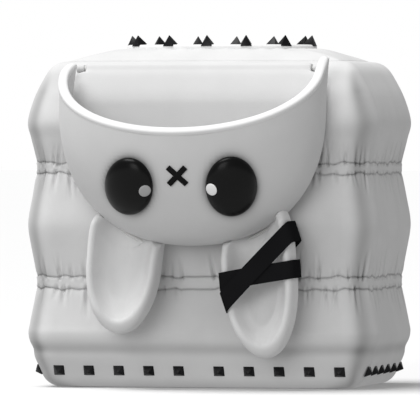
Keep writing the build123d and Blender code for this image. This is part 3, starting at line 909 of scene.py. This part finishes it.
@dataclass
class BowlForm:
    """The hood bowl's outer form: a straight-sided back part and a dome, read from the frame."""

    bulge: float = 76.0 * MM
    straight: float = 14.0 * MM
    fullness: float = 0.034
    corner_lift: float = 8.5 * MM
    corner_flare: float = 3.5 * MM
    corner_tuck: float = 7.0 * MM
    corner_reach: float = 50.0 * MM
    rim_slope: float = math.radians(35)
    radius: float = field(init=False)
    back: float = field(init=False)
    centre: float = field(init=False)
    corner: float = field(init=False)

    def __post_init__(self) -> None:
        """Take the bowl's width, back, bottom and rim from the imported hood."""
        low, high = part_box("hood_shell")
        self.radius = high.x
        self.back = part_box("hood_gusset")[1].y
        self.centre = low.z + self.radius
        self.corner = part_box("rim_binding")[1].z

    @property
    def dome(self) -> float:
        """Where the dome starts."""
        return self.back - self.straight

    def reach(self, y: np.ndarray | float) -> np.ndarray | float:
        """Radius of the bowl's round section at depth y."""
        forward = np.clip((self.dome - y) / self.bulge, 0, 1)
        return self.radius * np.sqrt(1 - forward**2)

    def underside(self, x: np.ndarray, y: np.ndarray) -> np.ndarray:
        """Height of the bowl's outer surface below its middle."""
        return self.centre - np.sqrt(np.maximum(self.reach(y) ** 2 - x**2, 0))

    def flare(self, places: np.ndarray) -> np.ndarray:
        """Draw the rim's right back corner up and out, and tuck the left one in."""
        back = np.clip((places[:, 1] - self.dome) / self.straight, 0, 1) ** 1.5
        high = np.clip((places[:, 2] - self.corner) / self.corner_reach + 1, 0, 1) ** 2
        moved = places.copy()
        right = places[:, 0] > 0
        moved[:, 2] += self.corner_lift * back * high * right
        moved[:, 0] += np.where(right, self.corner_flare, self.corner_tuck) * back * high
        return moved

    def seat(self, x: float, z: float) -> tuple[Vector, Vector]:
        """The dome's place and outward normal at x and height z."""
        share = math.hypot(x, z - self.centre) / self.radius
        y = self.dome - self.bulge * math.sqrt(1 - share**2)
        normal = Vector(
            (x / self.radius**2, (y - self.dome) / self.bulge**2, (z - self.centre) / self.radius**2)
        )
        return Vector((x, y, z)), normal.normalized()


@dataclass
class Hood:
    """The hood: its bowl, rim, back panel, lining and the fold that it lifts on."""

    form: BowlForm
    wall: float = 7.0 * MM
    rim_half_width: float = 4.4 * MM
    rim_half_height: float = 3.2 * MM
    rim_cover: float = 4.0 * MM
    upper_rows: int = 14
    back_rows: int = 4
    rim_squareness: float = 0.7
    # How dark, how wide and how deep the painted shade round the eyes is.
    shadow_tone: float = 0.75
    shadow_start: float = 0.97
    shadow_reach: float = 0.13
    shadow_depth: float = 12.0 * MM
    rim_length: float = 420 * MM
    rim_end: float = 4 * MM

    def build_shell(self) -> None:
        """Model the bowl: a sphere stretched to the dome, cut, drawn back and up, and given its wall."""
        form = self.form
        half = (form.radius, form.bulge, form.radius)
        shell = ball("hood_bowl", 160, 120, half, (0, form.dome, form.centre))
        bisect_clear(shell, Vector((0, form.dome, 0)), Vector((0, 1, 0)))
        bisect_clear(shell, Vector((0, 0, form.centre)), Vector((0, 0, 1)))
        select_points(shell, lambda p: abs(p.y - form.dome) < 1e-5)
        for _ in range(self.back_rows):
            step = form.straight / self.back_rows
            bpy.ops.mesh.extrude_region_move(TRANSFORM_OT_translate={"value": (0, step, 0)})
        select_points(shell, lambda p: abs(p.z - form.centre) < 1e-5)
        for _ in range(self.upper_rows):
            rise = (form.corner - form.centre) / self.upper_rows
            bpy.ops.mesh.extrude_region_move(TRANSFORM_OT_translate={"value": (0, 0, rise)})
        bpy.ops.object.mode_set(mode="OBJECT")
        slope = form.rim_slope
        bisect_clear(
            shell,
            Vector((0, form.back, form.corner - self.rim_cover)),
            Vector((0, -math.sin(slope), math.cos(slope))),
        )
        self.fill_out(shell)
        lay(shell, form.flare(places_of(shell)))
        outward(shell)
        apply_modifier(shell, "SOLIDIFY", thickness=self.wall, offset=-1.0, use_even_offset=True)
        outward(shell)
        smooth(shell, 40.0)
        # Paint shade into the hood cloth round the eyes.
        mark_painted_shade(shell, self.painted_eye_shade)
        dress_and_ride(shell, HOOD, "hood", "hood_cloth", "hood_shell", "hood_gusset", "hood_lining")

    def fill_out(self, shell: bpy.types.Object) -> None:
        """Make the bowl a little fuller between its bottom and its sides, as stuffing does."""
        for vertex in shell.data.vertices:
            down, across = self.form.centre - vertex.co.z, vertex.co.x
            if down > 0:
                angle = math.atan2(abs(across), down)
                grow = 1 + self.form.fullness * math.sin(2 * angle) ** 2
                vertex.co.x *= grow
                vertex.co.z = self.form.centre - down * grow

    def painted_eye_shade(self, places: np.ndarray) -> np.ndarray:
        """Painted shade: a soft dark ring on the hood round each eye."""
        dark = np.zeros(len(places))
        for across in EYES:
            back = np.array(Face.eye_seat(self.form, across).inverted())
            local = places @ back[:3, :3].T + back[:3, 3]
            reach = np.hypot(local[:, 0] / (Face.eye_width / 2), local[:, 1] / (Face.eye_length / 2))
            near = np.abs(local[:, 2]) < self.shadow_depth
            fade = np.exp(-(np.maximum(reach - self.shadow_start, 0) / self.shadow_reach) ** 1.2)
            dark = np.maximum(dark, near * self.shadow_tone * fade)
        return dark

    def build_rim(self) -> None:
        """Model the thick white rim as a stuffed roll round the bowl's cut edge."""
        form, rows = self.form, 20
        columns = 260
        middle = form.radius - self.wall / 2
        deep = form.bulge - self.wall / 2

        def line(share: np.ndarray) -> np.ndarray:
            """The rim's middle line, from the left end round the front to the right end."""
            straight = form.straight
            arc = math.pi / 2 * (1.5 * (middle + deep) - math.sqrt(middle * deep)) * 2 / math.pi
            turn = 2 * 1.1 * arc
            total = 2 * straight + turn
            d = share * total
            x, y = np.zeros_like(d), np.zeros_like(d)
            left, right = d < straight, d > total - straight
            x[left], y[left] = -middle, form.back - d[left]
            x[right], y[right] = middle, form.back - (total - d[right])
            bend = ~(left | right)
            angle = (d[bend] - straight) / turn * math.pi
            x[bend] = -middle * np.cos(angle)
            y[bend] = form.dome - deep * np.sin(angle)
            z = form.corner + (y - form.back) * math.tan(form.rim_slope) - self.rim_half_height
            below = np.maximum(form.centre - z, 0)
            shrink = np.sqrt(np.maximum(1 - (below / form.radius) ** 2, 0))
            x, y = x * shrink, np.where(bend, form.dome + (y - form.dome) * shrink, y)
            z = form.corner + (y - form.back) * math.tan(form.rim_slope) - self.rim_half_height
            return np.column_stack([x, y, z])

        def place(share: np.ndarray, row: np.ndarray) -> np.ndarray:
            """Where a point of the panel lies round the roll."""
            step = 1e-4
            here = line(share)
            ahead = line(np.minimum(share + step, 1)) - line(np.maximum(share - step, 0))
            ahead /= np.linalg.norm(ahead, axis=1)[:, None]
            up = np.array([0, -math.sin(form.rim_slope), math.cos(form.rim_slope)])
            side = np.cross(ahead, up)
            side /= np.linalg.norm(side, axis=1)[:, None]
            turn = 2 * math.pi * row / rows
            c, s = np.cos(turn), np.sin(turn)
            end = np.minimum(share, 1 - share) * self.rim_length / self.rim_end
            cap = np.sqrt(1 - (1 - np.clip(end, 0, 1)) ** 2)
            across = self.rim_half_width * boxier(c, self.rim_squareness) * cap
            tall = self.rim_half_height * boxier(s, self.rim_squareness) * cap
            return form.flare(here + side * across[:, None] + up * tall[:, None])

        piece = wrap_panel("hood_rim", columns, rows, place)
        dress_and_ride(piece, BINDING, "hood", "hood_cloth", "rim_binding")

    def build_back(self) -> None:
        """Model the back panel: it lies on the bag's front and turns up to the fold's sleeve."""
        form = self.form
        low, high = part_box("hood_back_panel")
        fold_y, fold_z = high.y - 5 * MM, high.z - 5 * MM
        thick, edge_inset = 3.0 * MM, 4.0 * MM
        notch_start, notch_rise, notch_depth = 31.5 * MM, 3.5 * MM, 11.8 * MM
        behind_bowl = form.back + thick / 2
        path = smooth_path(
            [(behind_bowl, form.centre - form.radius), (behind_bowl, form.centre - 40 * MM),
             (behind_bowl, form.centre), (behind_bowl + 1.5 * MM, form.centre + 14 * MM),
             (fold_y - 8 * MM, fold_z - 7.5 * MM), (fold_y - 3.9 * MM, fold_z - 0.5 * MM),
             (fold_y - 2.6 * MM, fold_z + 2.8 * MM), (fold_y + 0.3 * MM, fold_z + 3.8 * MM),
             (fold_y + 3 * MM, fold_z + 2.2 * MM), (fold_y + 3.5 * MM, fold_z - 0.5 * MM)],
            80,
        )
        normal = np.gradient(path, axis=0)
        normal = np.column_stack([normal[:, 1], -normal[:, 0]])
        normal /= np.linalg.norm(normal, axis=1)[:, None]
        rows = 80

        def place(share: np.ndarray, row: np.ndarray) -> np.ndarray:
            """Where a point of the panel lies, front face first and back up behind."""
            k, behind = two_faced(row, rows)
            k = k.astype(int)
            y, z = path[k, 0], path[k, 1]
            down = np.clip((form.centre - z) / form.radius, 0, 1)
            full = form.radius * np.sqrt(1 - down**2)
            full *= 1 + form.fullness * np.sin(2 * np.arctan2(full, np.maximum(form.centre - z, 1e-9))) ** 2
            top = np.clip((z - form.centre - notch_start) / notch_rise, 0, 1)
            half = full - notch_depth * top**2 - edge_inset
            x = (2 * share - 1) * np.maximum(half - 0.3 * MM, 0)
            edge = np.sqrt(1 - (2 * np.abs(share - 0.5)) ** 24)
            side = np.where(behind, 1.0, -1.0) * thick / 2 * edge
            return np.column_stack([x, y + normal[k, 0] * side, z + normal[k, 1] * side])

        piece = wrap_panel("hood_back", 160, 2 * rows + 2, place)
        mark_painted_shade(piece, no_painted_shade)
        dress_and_ride(piece, HOOD, "hood", "hood_cloth", "hood_back_panel")

    def build_tabs(self) -> None:
        """Model the two folded tabs that hold the fold's piping to the shoulder."""
        low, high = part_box("fold_end_tabs")
        y, z = low.y + (high.z - low.z) / 2, (low.z + high.z) / 2
        round_half = 3.7 * MM
        wide, rows, tabs = 8.2 * MM, 16, []
        section = smooth_path(
            [(y + round_half * math.cos(math.radians(a)), z + round_half * math.sin(math.radians(a)))
             for a in (50, 80, 110, 140, 170, 200, 230, 260)]
            + [(y + 5 * MM, z - 3.6 * MM), (high.y - 1 * MM, z - 3.5 * MM), (high.y - 0.3 * MM, z - 2.3 * MM),
               (high.y - 1.2 * MM, z - 1.1 * MM), (y + 6 * MM, z + 0.3 * MM),
               (y + round_half * math.cos(math.radians(50)), z + round_half * math.sin(math.radians(50)))],
            96,
        )
        middle = np.array([y + 1 * MM, z - 0.6 * MM])
        for side in (-1, 1):

            def place(share: np.ndarray, row: np.ndarray) -> np.ndarray:
                """Where a point of the panel lies round the tab."""
                k = np.rint(share * 96).astype(int) % 96
                t = row / rows
                shrink = (1 - (2 * np.abs(t - 0.5)) ** 9) ** (1 / 3)
                yz = middle + (section[k] - middle) * shrink[:, None]
                x = side * (high.x + 0.2 * MM - wide * (1 - t))
                return np.column_stack([x, yz])

            tabs.append(wrap_panel("tab", 96, rows, place))
        piece = joined(tabs, "fold_tabs")
        dress_and_ride(piece, QUILT_PLAIN, "bag", "quilt_cloth", "fold_end_tabs")

    def build(self) -> None:
        """Model the hood's soft pieces."""
        self.build_shell()
        self.build_rim()
        self.build_back()
        self.build_tabs()


# ---------------------------------------------------------------- the face


@dataclass
class Face:
    """The eyes, their glints and the crossed nose."""

    form: BowlForm
    eye_height: float = 180.0 * MM
    eye_width: float = 45.5 * MM
    eye_length: float = 57.5 * MM
    eye_stand: float = 11.0 * MM
    eye_sunk: float = 4.5 * MM
    glint_radius: float = 5.3 * MM
    glint_stretch: float = 1.06
    glint_stand: float = 1.1 * MM
    nose_height: float = 189.5 * MM
    nose_aside: float = 3.0 * MM
    nose_span: float = 22.5 * MM
    nose_width: float = 5.0 * MM
    nose_thick: float = 1.5 * MM
    nose_edge: float = 0.45 * MM
    nose_proud: float = 0.4 * MM
    lean_left: float = math.radians(-23)
    lean_right: float = math.radians(-1.4)

    @classmethod
    def eye_seat(cls, form: BowlForm, across: float) -> Matrix:
        """Seat of an eye on the dome, with z outwards and y upright but for its lean."""
        place, normal = form.seat(across, cls.eye_height)
        upright = Vector((0, normal.z, -normal.y))
        lean = cls.lean_left if across < 0 else cls.lean_right
        return seat_matrix(place, upright.cross(normal), normal) @ Matrix.Rotation(lean, 4, "Z")

    def build_eye(self, across: float, name: str) -> None:
        """Model a domed oval eye: a ball, flattened and cut off behind its seat."""
        eye = ball(f"eye_dome_{name}", 96, 64, (self.eye_width / 2, self.eye_length / 2, self.eye_stand))
        bisect_clear(eye, Vector((0, 0, -self.eye_sunk)), Vector((0, 0, -1)), fill=True)
        eye.data.transform(self.eye_seat(self.form, across))
        outward(eye)
        smooth(eye, 50.0)
        dress_and_ride(eye, EYE, "hood", "black_gloss", f"eye_{name}")

    def build_glint(self, across: float, aside: float, up: float, name: str) -> None:
        """Model a small light disc, domed to lie on its eye."""
        # The right eye's glint is white; the left eye's is the grey copy that stands for it in shade, painted
        # shade.
        finish, slot = (GLINT_WHITE, "white_gloss") if name == "right" else (GLINT_PAINTED_SHADE, "grey_gloss")
        a, b, c = self.eye_width / 2, self.eye_length / 2, self.eye_stand
        rise = c * math.sqrt(1 - (aside / a) ** 2 - (up / b) ** 2)
        normal = Vector((aside / a**2, up / b**2, rise / c**2)).normalized()
        half = (self.glint_radius, self.glint_radius * self.glint_stretch, self.glint_stand)
        glint = ball(f"glint_{name}", 40, 20, half)
        glint.data.transform(seat_matrix(Vector((aside, up, rise)), Vector((1, 0, 0)), normal))
        glint.data.transform(self.eye_seat(self.form, across))
        outward(glint)
        smooth(glint)
        dress_and_ride(glint, finish, "hood", slot, f"eye_glint_{name}")

    def build_nose(self, angle: float, name: str, lift: float) -> None:
        """Model one felt strip of the nose, bent to the dome."""
        deselect()
        bpy.ops.mesh.primitive_cube_add(size=1.0, location=(0, 0, 0))
        strip = added(f"nose_{name}")
        take(strip)
        bpy.ops.transform.resize(value=(self.nose_span, self.nose_width, self.nose_thick))
        settle(strip)
        apply_modifier(strip, "BEVEL", width=self.nose_edge, segments=3)
        place, normal = self.form.seat(self.nose_aside, self.nose_height)
        seat = seat_matrix(place + normal * (self.nose_proud + lift), Vector((1, 0, 0)), normal)
        strip.data.transform(seat @ Matrix.Rotation(math.radians(angle), 4, "Z"))
        outward(strip)
        smooth(strip, 40.0)
        dress_and_ride(strip, FELT, "hood", "black_felt", f"nose_bar_{name}")

    def build(self) -> None:
        """Model the face's pieces."""
        for across, aside, up, name in (
            (EYES[0], 17.5 * MM, 8.5 * MM, "left"),
            (EYES[1], -18.2 * MM, 2.5 * MM, "right"),
        ):
            self.build_eye(across, name)
            self.build_glint(across, aside, up, name)
        self.build_nose(45.0, "rising", 0.35 * MM)
        self.build_nose(-45.0, "falling", 0.0)


# ---------------------------------------------------------------- the ears and straps


@dataclass
class Ear:
    """One scoop-shaped ear that hangs from the bowl's underside."""

    name: str
    side: int
    form: BowlForm
    drop: float
    tip_round: float
    half_width: float = 32.2 * MM
    splay: float = math.radians(4)
    tuck: float = 0.3 * MM
    rim: float = 7.5 * MM
    scoop: float = 27.0 * MM
    lip: float = 1.7
    squareness: float = 2 / 4.5
    least: float = 0.4 * MM
    root_rise: float = 26.0 * MM
    root_thin: float = 23.0 * MM
    root_reach: float = 24.0 * MM
    root_slope: float = 0.42
    root_flat: float = 5.0 * MM
    spoon_reach: float = 62.0 * MM
    spoon_rise: float = 17.0 * MM
    right_rise: float = 9.0 * MM
    scoop_edge: float = 9.0 * MM
    tip_reach: float = 26.0 * MM
    tip_back: float = 8.0 * MM

    def __post_init__(self) -> None:
        """Read the ear's depth and root from the frame."""
        low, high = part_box(f"ear_{self.name}")
        self.front, self.back = low.y, high.y
        joint = next(j for j in frame["joints"] if j["name"] == f"ear_{self.name}_flap")
        self.root = Vector(joint["pos_m"])

    def outline(self, angle: np.ndarray, inset: np.ndarray) -> np.ndarray:
        """Places on the ear's front outline, drawn inset inside itself, as x and height."""
        low = np.maximum(self.tip_round - inset * self.lip, self.least)
        high = np.maximum(self.drop - self.tip_round + self.root_rise - inset, self.least)
        wide = np.maximum(self.half_width - inset, 0)
        c, s = np.cos(angle), np.sin(angle)
        x = np.where(s < 0, wide * c, wide * boxier(c, self.squareness))
        z = np.where(s < 0, low * s, high * np.abs(s) ** self.squareness)
        z = z - self.drop + self.tip_round
        lean = self.side * math.tan(self.splay)
        return np.stack([self.root.x + x - z * lean, self.root.z + z], -1)

    def build(self) -> None:
        """Model the ear: a thick rolled rim round a scooped front, and a rounded back."""
        front, back, half = self.front, self.back, self.half_width
        section = smooth_path(
            [
                (half, front + self.scoop), (half * 0.8, front + self.scoop * 0.97),
                (half * 0.62, front + self.scoop * 0.88), (half * 0.46, front + self.scoop * 0.71),
                (self.rim + 3.5 * MM, front + self.scoop * 0.48),
                (self.rim + 0.6 * MM, front + self.scoop * 0.2), (self.rim - 1 * MM, front + 1.4 * MM),
                (self.rim / 2, front), (1.2 * MM, front + 2.2 * MM),
                (0.0, front + 8 * MM), (0.0, back - 12 * MM), (2.5 * MM, back - 4 * MM),
                (9 * MM, back - 0.8 * MM), (half * 0.6, back), (half, back),
            ],
            78,
        )

        def place(share: np.ndarray, row: np.ndarray) -> np.ndarray:
            """Where a point of the panel lies on the ear."""
            k = row.astype(int)
            inset, y = section[k, 0], section[k, 1].copy()
            xz = self.outline(2 * math.pi * share, inset)
            x, z = xz[:, 0], xz[:, 1]
            roof = self.form.underside(x, y) + self.tuck
            below = np.clip((roof - z) / self.root_reach, 0, 1)
            ahead = np.clip((back - y) / (back - front), 0, 1)
            y = y + self.root_thin * (1 - below) ** 1.5 * ahead
            bottom = self.root.z - self.drop
            low = np.clip((bottom + self.spoon_reach - z) / self.spoon_reach, 0, 1)
            inside = np.clip((inset - self.rim) / self.scoop_edge, 0, 1) * (y < front + self.scoop + MM)
            right = np.clip((x - self.root.x) / self.half_width, 0, 1)
            y = y - (self.spoon_rise * low**1.2 + self.right_rise * right) * inside
            tip = np.clip((bottom + self.tip_reach - z) / self.tip_reach, 0, 1)
            y = y + self.tip_back * tip**2 * ahead
            roof = self.form.underside(x, y) + self.tuck
            roof -= self.root_slope * np.maximum(self.root.y - y - self.root_flat, 0)
            return np.column_stack([x, y, np.minimum(z, roof)])

        piece = wrap_panel(f"ear_{self.name}_plush", 168, 78, place)
        mark_painted_shade(piece, no_painted_shade)
        node = f"ear_{self.name}"
        dress_and_ride(piece, EAR, node, "ear_cloth", node, f"ear_pad_{self.name}")


@dataclass
class Strap:
    """A flat black strap that goes once round an ear along a sloping line."""

    name: str
    node: str
    left: tuple[float, float]
    right: tuple[float, float]
    front: float
    back: float
    width: float = 16.0 * MM
    thick: float = 1.5 * MM
    end_shear: float = 0.5
    corner: float = 7.0 * MM
    sag: float = 0.24 * MM

    def build(self) -> None:
        """Model the strap as a closed band: straight across the scoop, round the rims and behind."""
        (x0, z0), (x1, z1) = self.left, self.right
        slope = math.atan2(z1 - z0, x1 - x0)
        across = Vector((math.cos(slope), 0, math.sin(slope)))
        upright = Vector((0, 0, 1 / math.cos(slope)))
        rise = Vector((-math.sin(slope), 0, math.cos(slope))).lerp(upright, self.end_shear)
        middle = Vector(((x0 + x1) / 2, (self.front + self.back) / 2, (z0 + z1) / 2))
        half_long, half_deep = math.hypot(x1 - x0, z1 - z0) / 2, (self.back - self.front) / 2
        loop = BagOutline(half_long, half_deep, self.corner)
        section = [(-1, -1), (-0.94, 0), (-1, 1), (1, 1), (0.94, 0), (1, -1)]

        def place(share: np.ndarray, row: np.ndarray) -> np.ndarray:
            """Where a point of the band lies."""
            k = row.astype(int) % 6
            wide = np.array([p[0] for p in section])[k] * self.width / 2
            out = np.array([p[1] for p in section])[k] * self.thick / 2
            ring = loop.at(share, -out)
            sag = self.sag * np.sin(share * 2 * math.pi * 2 + 1.0)
            base = np.array(middle) + ring[:, :1] * np.array(across) + ring[:, 1:] * np.array([0, 1, 0])
            return base + (wide + sag)[:, None] * np.array(rise)

        piece = wrap_panel(self.name, 200, 6, place)
        smooth(piece, 35.0)
        dress_and_ride(piece, WEBBING, "ear_right", "black_webbing", self.node)


# ---------------------------------------------------------------- the small carried-over pieces


def dress_frame_nodes() -> None:
    """Give each CAD node that stays its finish."""
    for names, finish in (
        (("fold_piping", "ear_pin_left", "ear_pin_right"), CORD),
        (("ear_lugs_left", "ear_lugs_right"), BINDING),
        (("eye_washer_left", "eye_washer_right"), WASHER),
    ):
        for name in names:
            finish.on(frame["nodes"][name])


# ---------------------------------------------------------------- floor, light and camera


@dataclass
class Studio:
    """A pale floor, soft lights and the camera."""

    azimuth: float = math.radians(13.04)
    elevation: float = math.radians(0.67)
    distance: float = 6.582
    aim_height: float = 0.1574
    aim_aside: float = -0.00943
    lens: float = 626.8285714
    sensor: float = 36.0
    reach: float = 200.0
    floor_size: float = 60.0
    key_strength: float = 2.5
    key_softness: float = 38.0
    key_lean: tuple[float, float] = (-0.34, -0.16)
    fill_place: tuple[float, float, float] = (-0.9, -5.8, 1.9)
    fill_power: float = 98.0
    fill_size: float = 3.0
    fill_aim: float = 0.17
    sky_strength: float = 0.42

    def build_floor(self) -> None:
        """Lay the floor."""
        deselect()
        bpy.ops.mesh.primitive_plane_add(size=self.floor_size, location=(0, 0, -0.0005))
        floor = added("floor")
        Finish("floor_paper", (0.84, 0.84, 0.84), roughness=1.0, grain_mm=4, grain_depth=0.02, mottle=0.0,
               specular=0.0).on(floor)
        floor.visible_diffuse = False

    def build_lights(self) -> None:
        """Set a broad, high key from the upper left, a gentle front fill and a pale sky."""
        deselect()
        bpy.ops.object.light_add(type="SUN", location=(-1, -1, 4))
        key = bpy.context.active_object
        key.name = "key"
        key.data.energy = self.key_strength
        key.data.angle = math.radians(self.key_softness)
        shine = Vector((-self.key_lean[0], -self.key_lean[1], -1))
        key.rotation_euler = shine.to_track_quat("-Z", "Y").to_euler()
        deselect()
        bpy.ops.object.light_add(type="AREA", location=self.fill_place)
        fill = bpy.context.active_object
        fill.name = "fill"
        fill.data.size = self.fill_size
        fill.data.energy = self.fill_power
        aim = Vector((0, 0, self.fill_aim)) - Vector(self.fill_place)
        fill.rotation_euler = aim.to_track_quat("-Z", "Y").to_euler()
        self.build_sky()

    def build_sky(self) -> None:
        """Set a white backdrop that lights the object only a little."""
        world = bpy.data.worlds.new("pale_sky")
        bpy.context.scene.world = world
        world.use_nodes = True
        nodes, links = world.node_tree.nodes, world.node_tree.links
        soft = nodes["Background"]
        soft.inputs["Color"].default_value = (1, 1, 1, 1)
        soft.inputs["Strength"].default_value = self.sky_strength
        white = nodes.new("ShaderNodeBackground")
        white.inputs["Color"].default_value = (1, 1, 1, 1)
        seen = nodes.new("ShaderNodeLightPath")
        mix = nodes.new("ShaderNodeMixShader")
        links.new(seen.outputs["Is Camera Ray"], mix.inputs["Fac"])
        links.new(soft.outputs["Background"], mix.inputs[1])
        links.new(white.outputs["Background"], mix.inputs[2])
        links.new(mix.outputs["Shader"], nodes["World Output"].inputs["Surface"])

    def build_camera(self) -> None:
        """Set the camera low, a little to the right of the object's front, with a long lens."""
        a, e = self.azimuth, self.elevation
        back = Vector((math.sin(a) * math.cos(e), -math.cos(a) * math.cos(e), math.sin(e)))
        right = Vector((math.cos(a), math.sin(a), 0))
        aim = Vector((0, 0, self.aim_height)) + right * self.aim_aside
        deselect()
        bpy.ops.object.camera_add(location=aim + back * self.distance)
        camera = bpy.context.active_object
        camera.rotation_euler = (-back).to_track_quat("-Z", "Y").to_euler()
        camera.data.sensor_width = self.sensor
        camera.data.lens = self.lens
        camera.data.clip_end = self.reach
        bpy.context.scene.camera = camera
        bpy.context.scene.view_settings.view_transform = "Standard"

    def build(self) -> None:
        """Set the whole studio."""
        self.build_camera()
        self.build_floor()
        self.build_lights()


def main() -> None:
    """Build the camera, the bag, the studs, the hood, the face, the ears and the straps in order."""
    logging.basicConfig(level=logging.INFO, format="%(name)s: %(message)s")
    Studio().build()
    bag = QuiltedBag()
    bag.build()
    studs, rows = Pyramids(), StudRows()
    rows.hem(bag.outline, studs)
    rows.collar(studs)
    form = BowlForm()
    Hood(form).build()
    Face(form).build()
    left = Ear("left", -1, form, 87.0 * MM, 62.0 * MM)
    right = Ear("right", 1, form, 110.0 * MM, 70.0 * MM)
    left.build()
    right.build()
    slack, over = 1.1 * MM, 1.9 * MM
    front, back = right.front - slack, right.back + slack
    level = ((30.5 * MM, 95.5 * MM), (97 * MM, 107.5 * MM))
    crossing = ((34.2 * MM, 77.3 * MM), (94.6 * MM, 140.5 * MM))
    Strap("strap_level", "ear_strap_level", *level, front, back).build()
    Strap("strap_crossing", "ear_strap_crossing", *crossing, front - over, back + over).build()
    dress_frame_nodes()


if __name__ == "__main__":
    main()
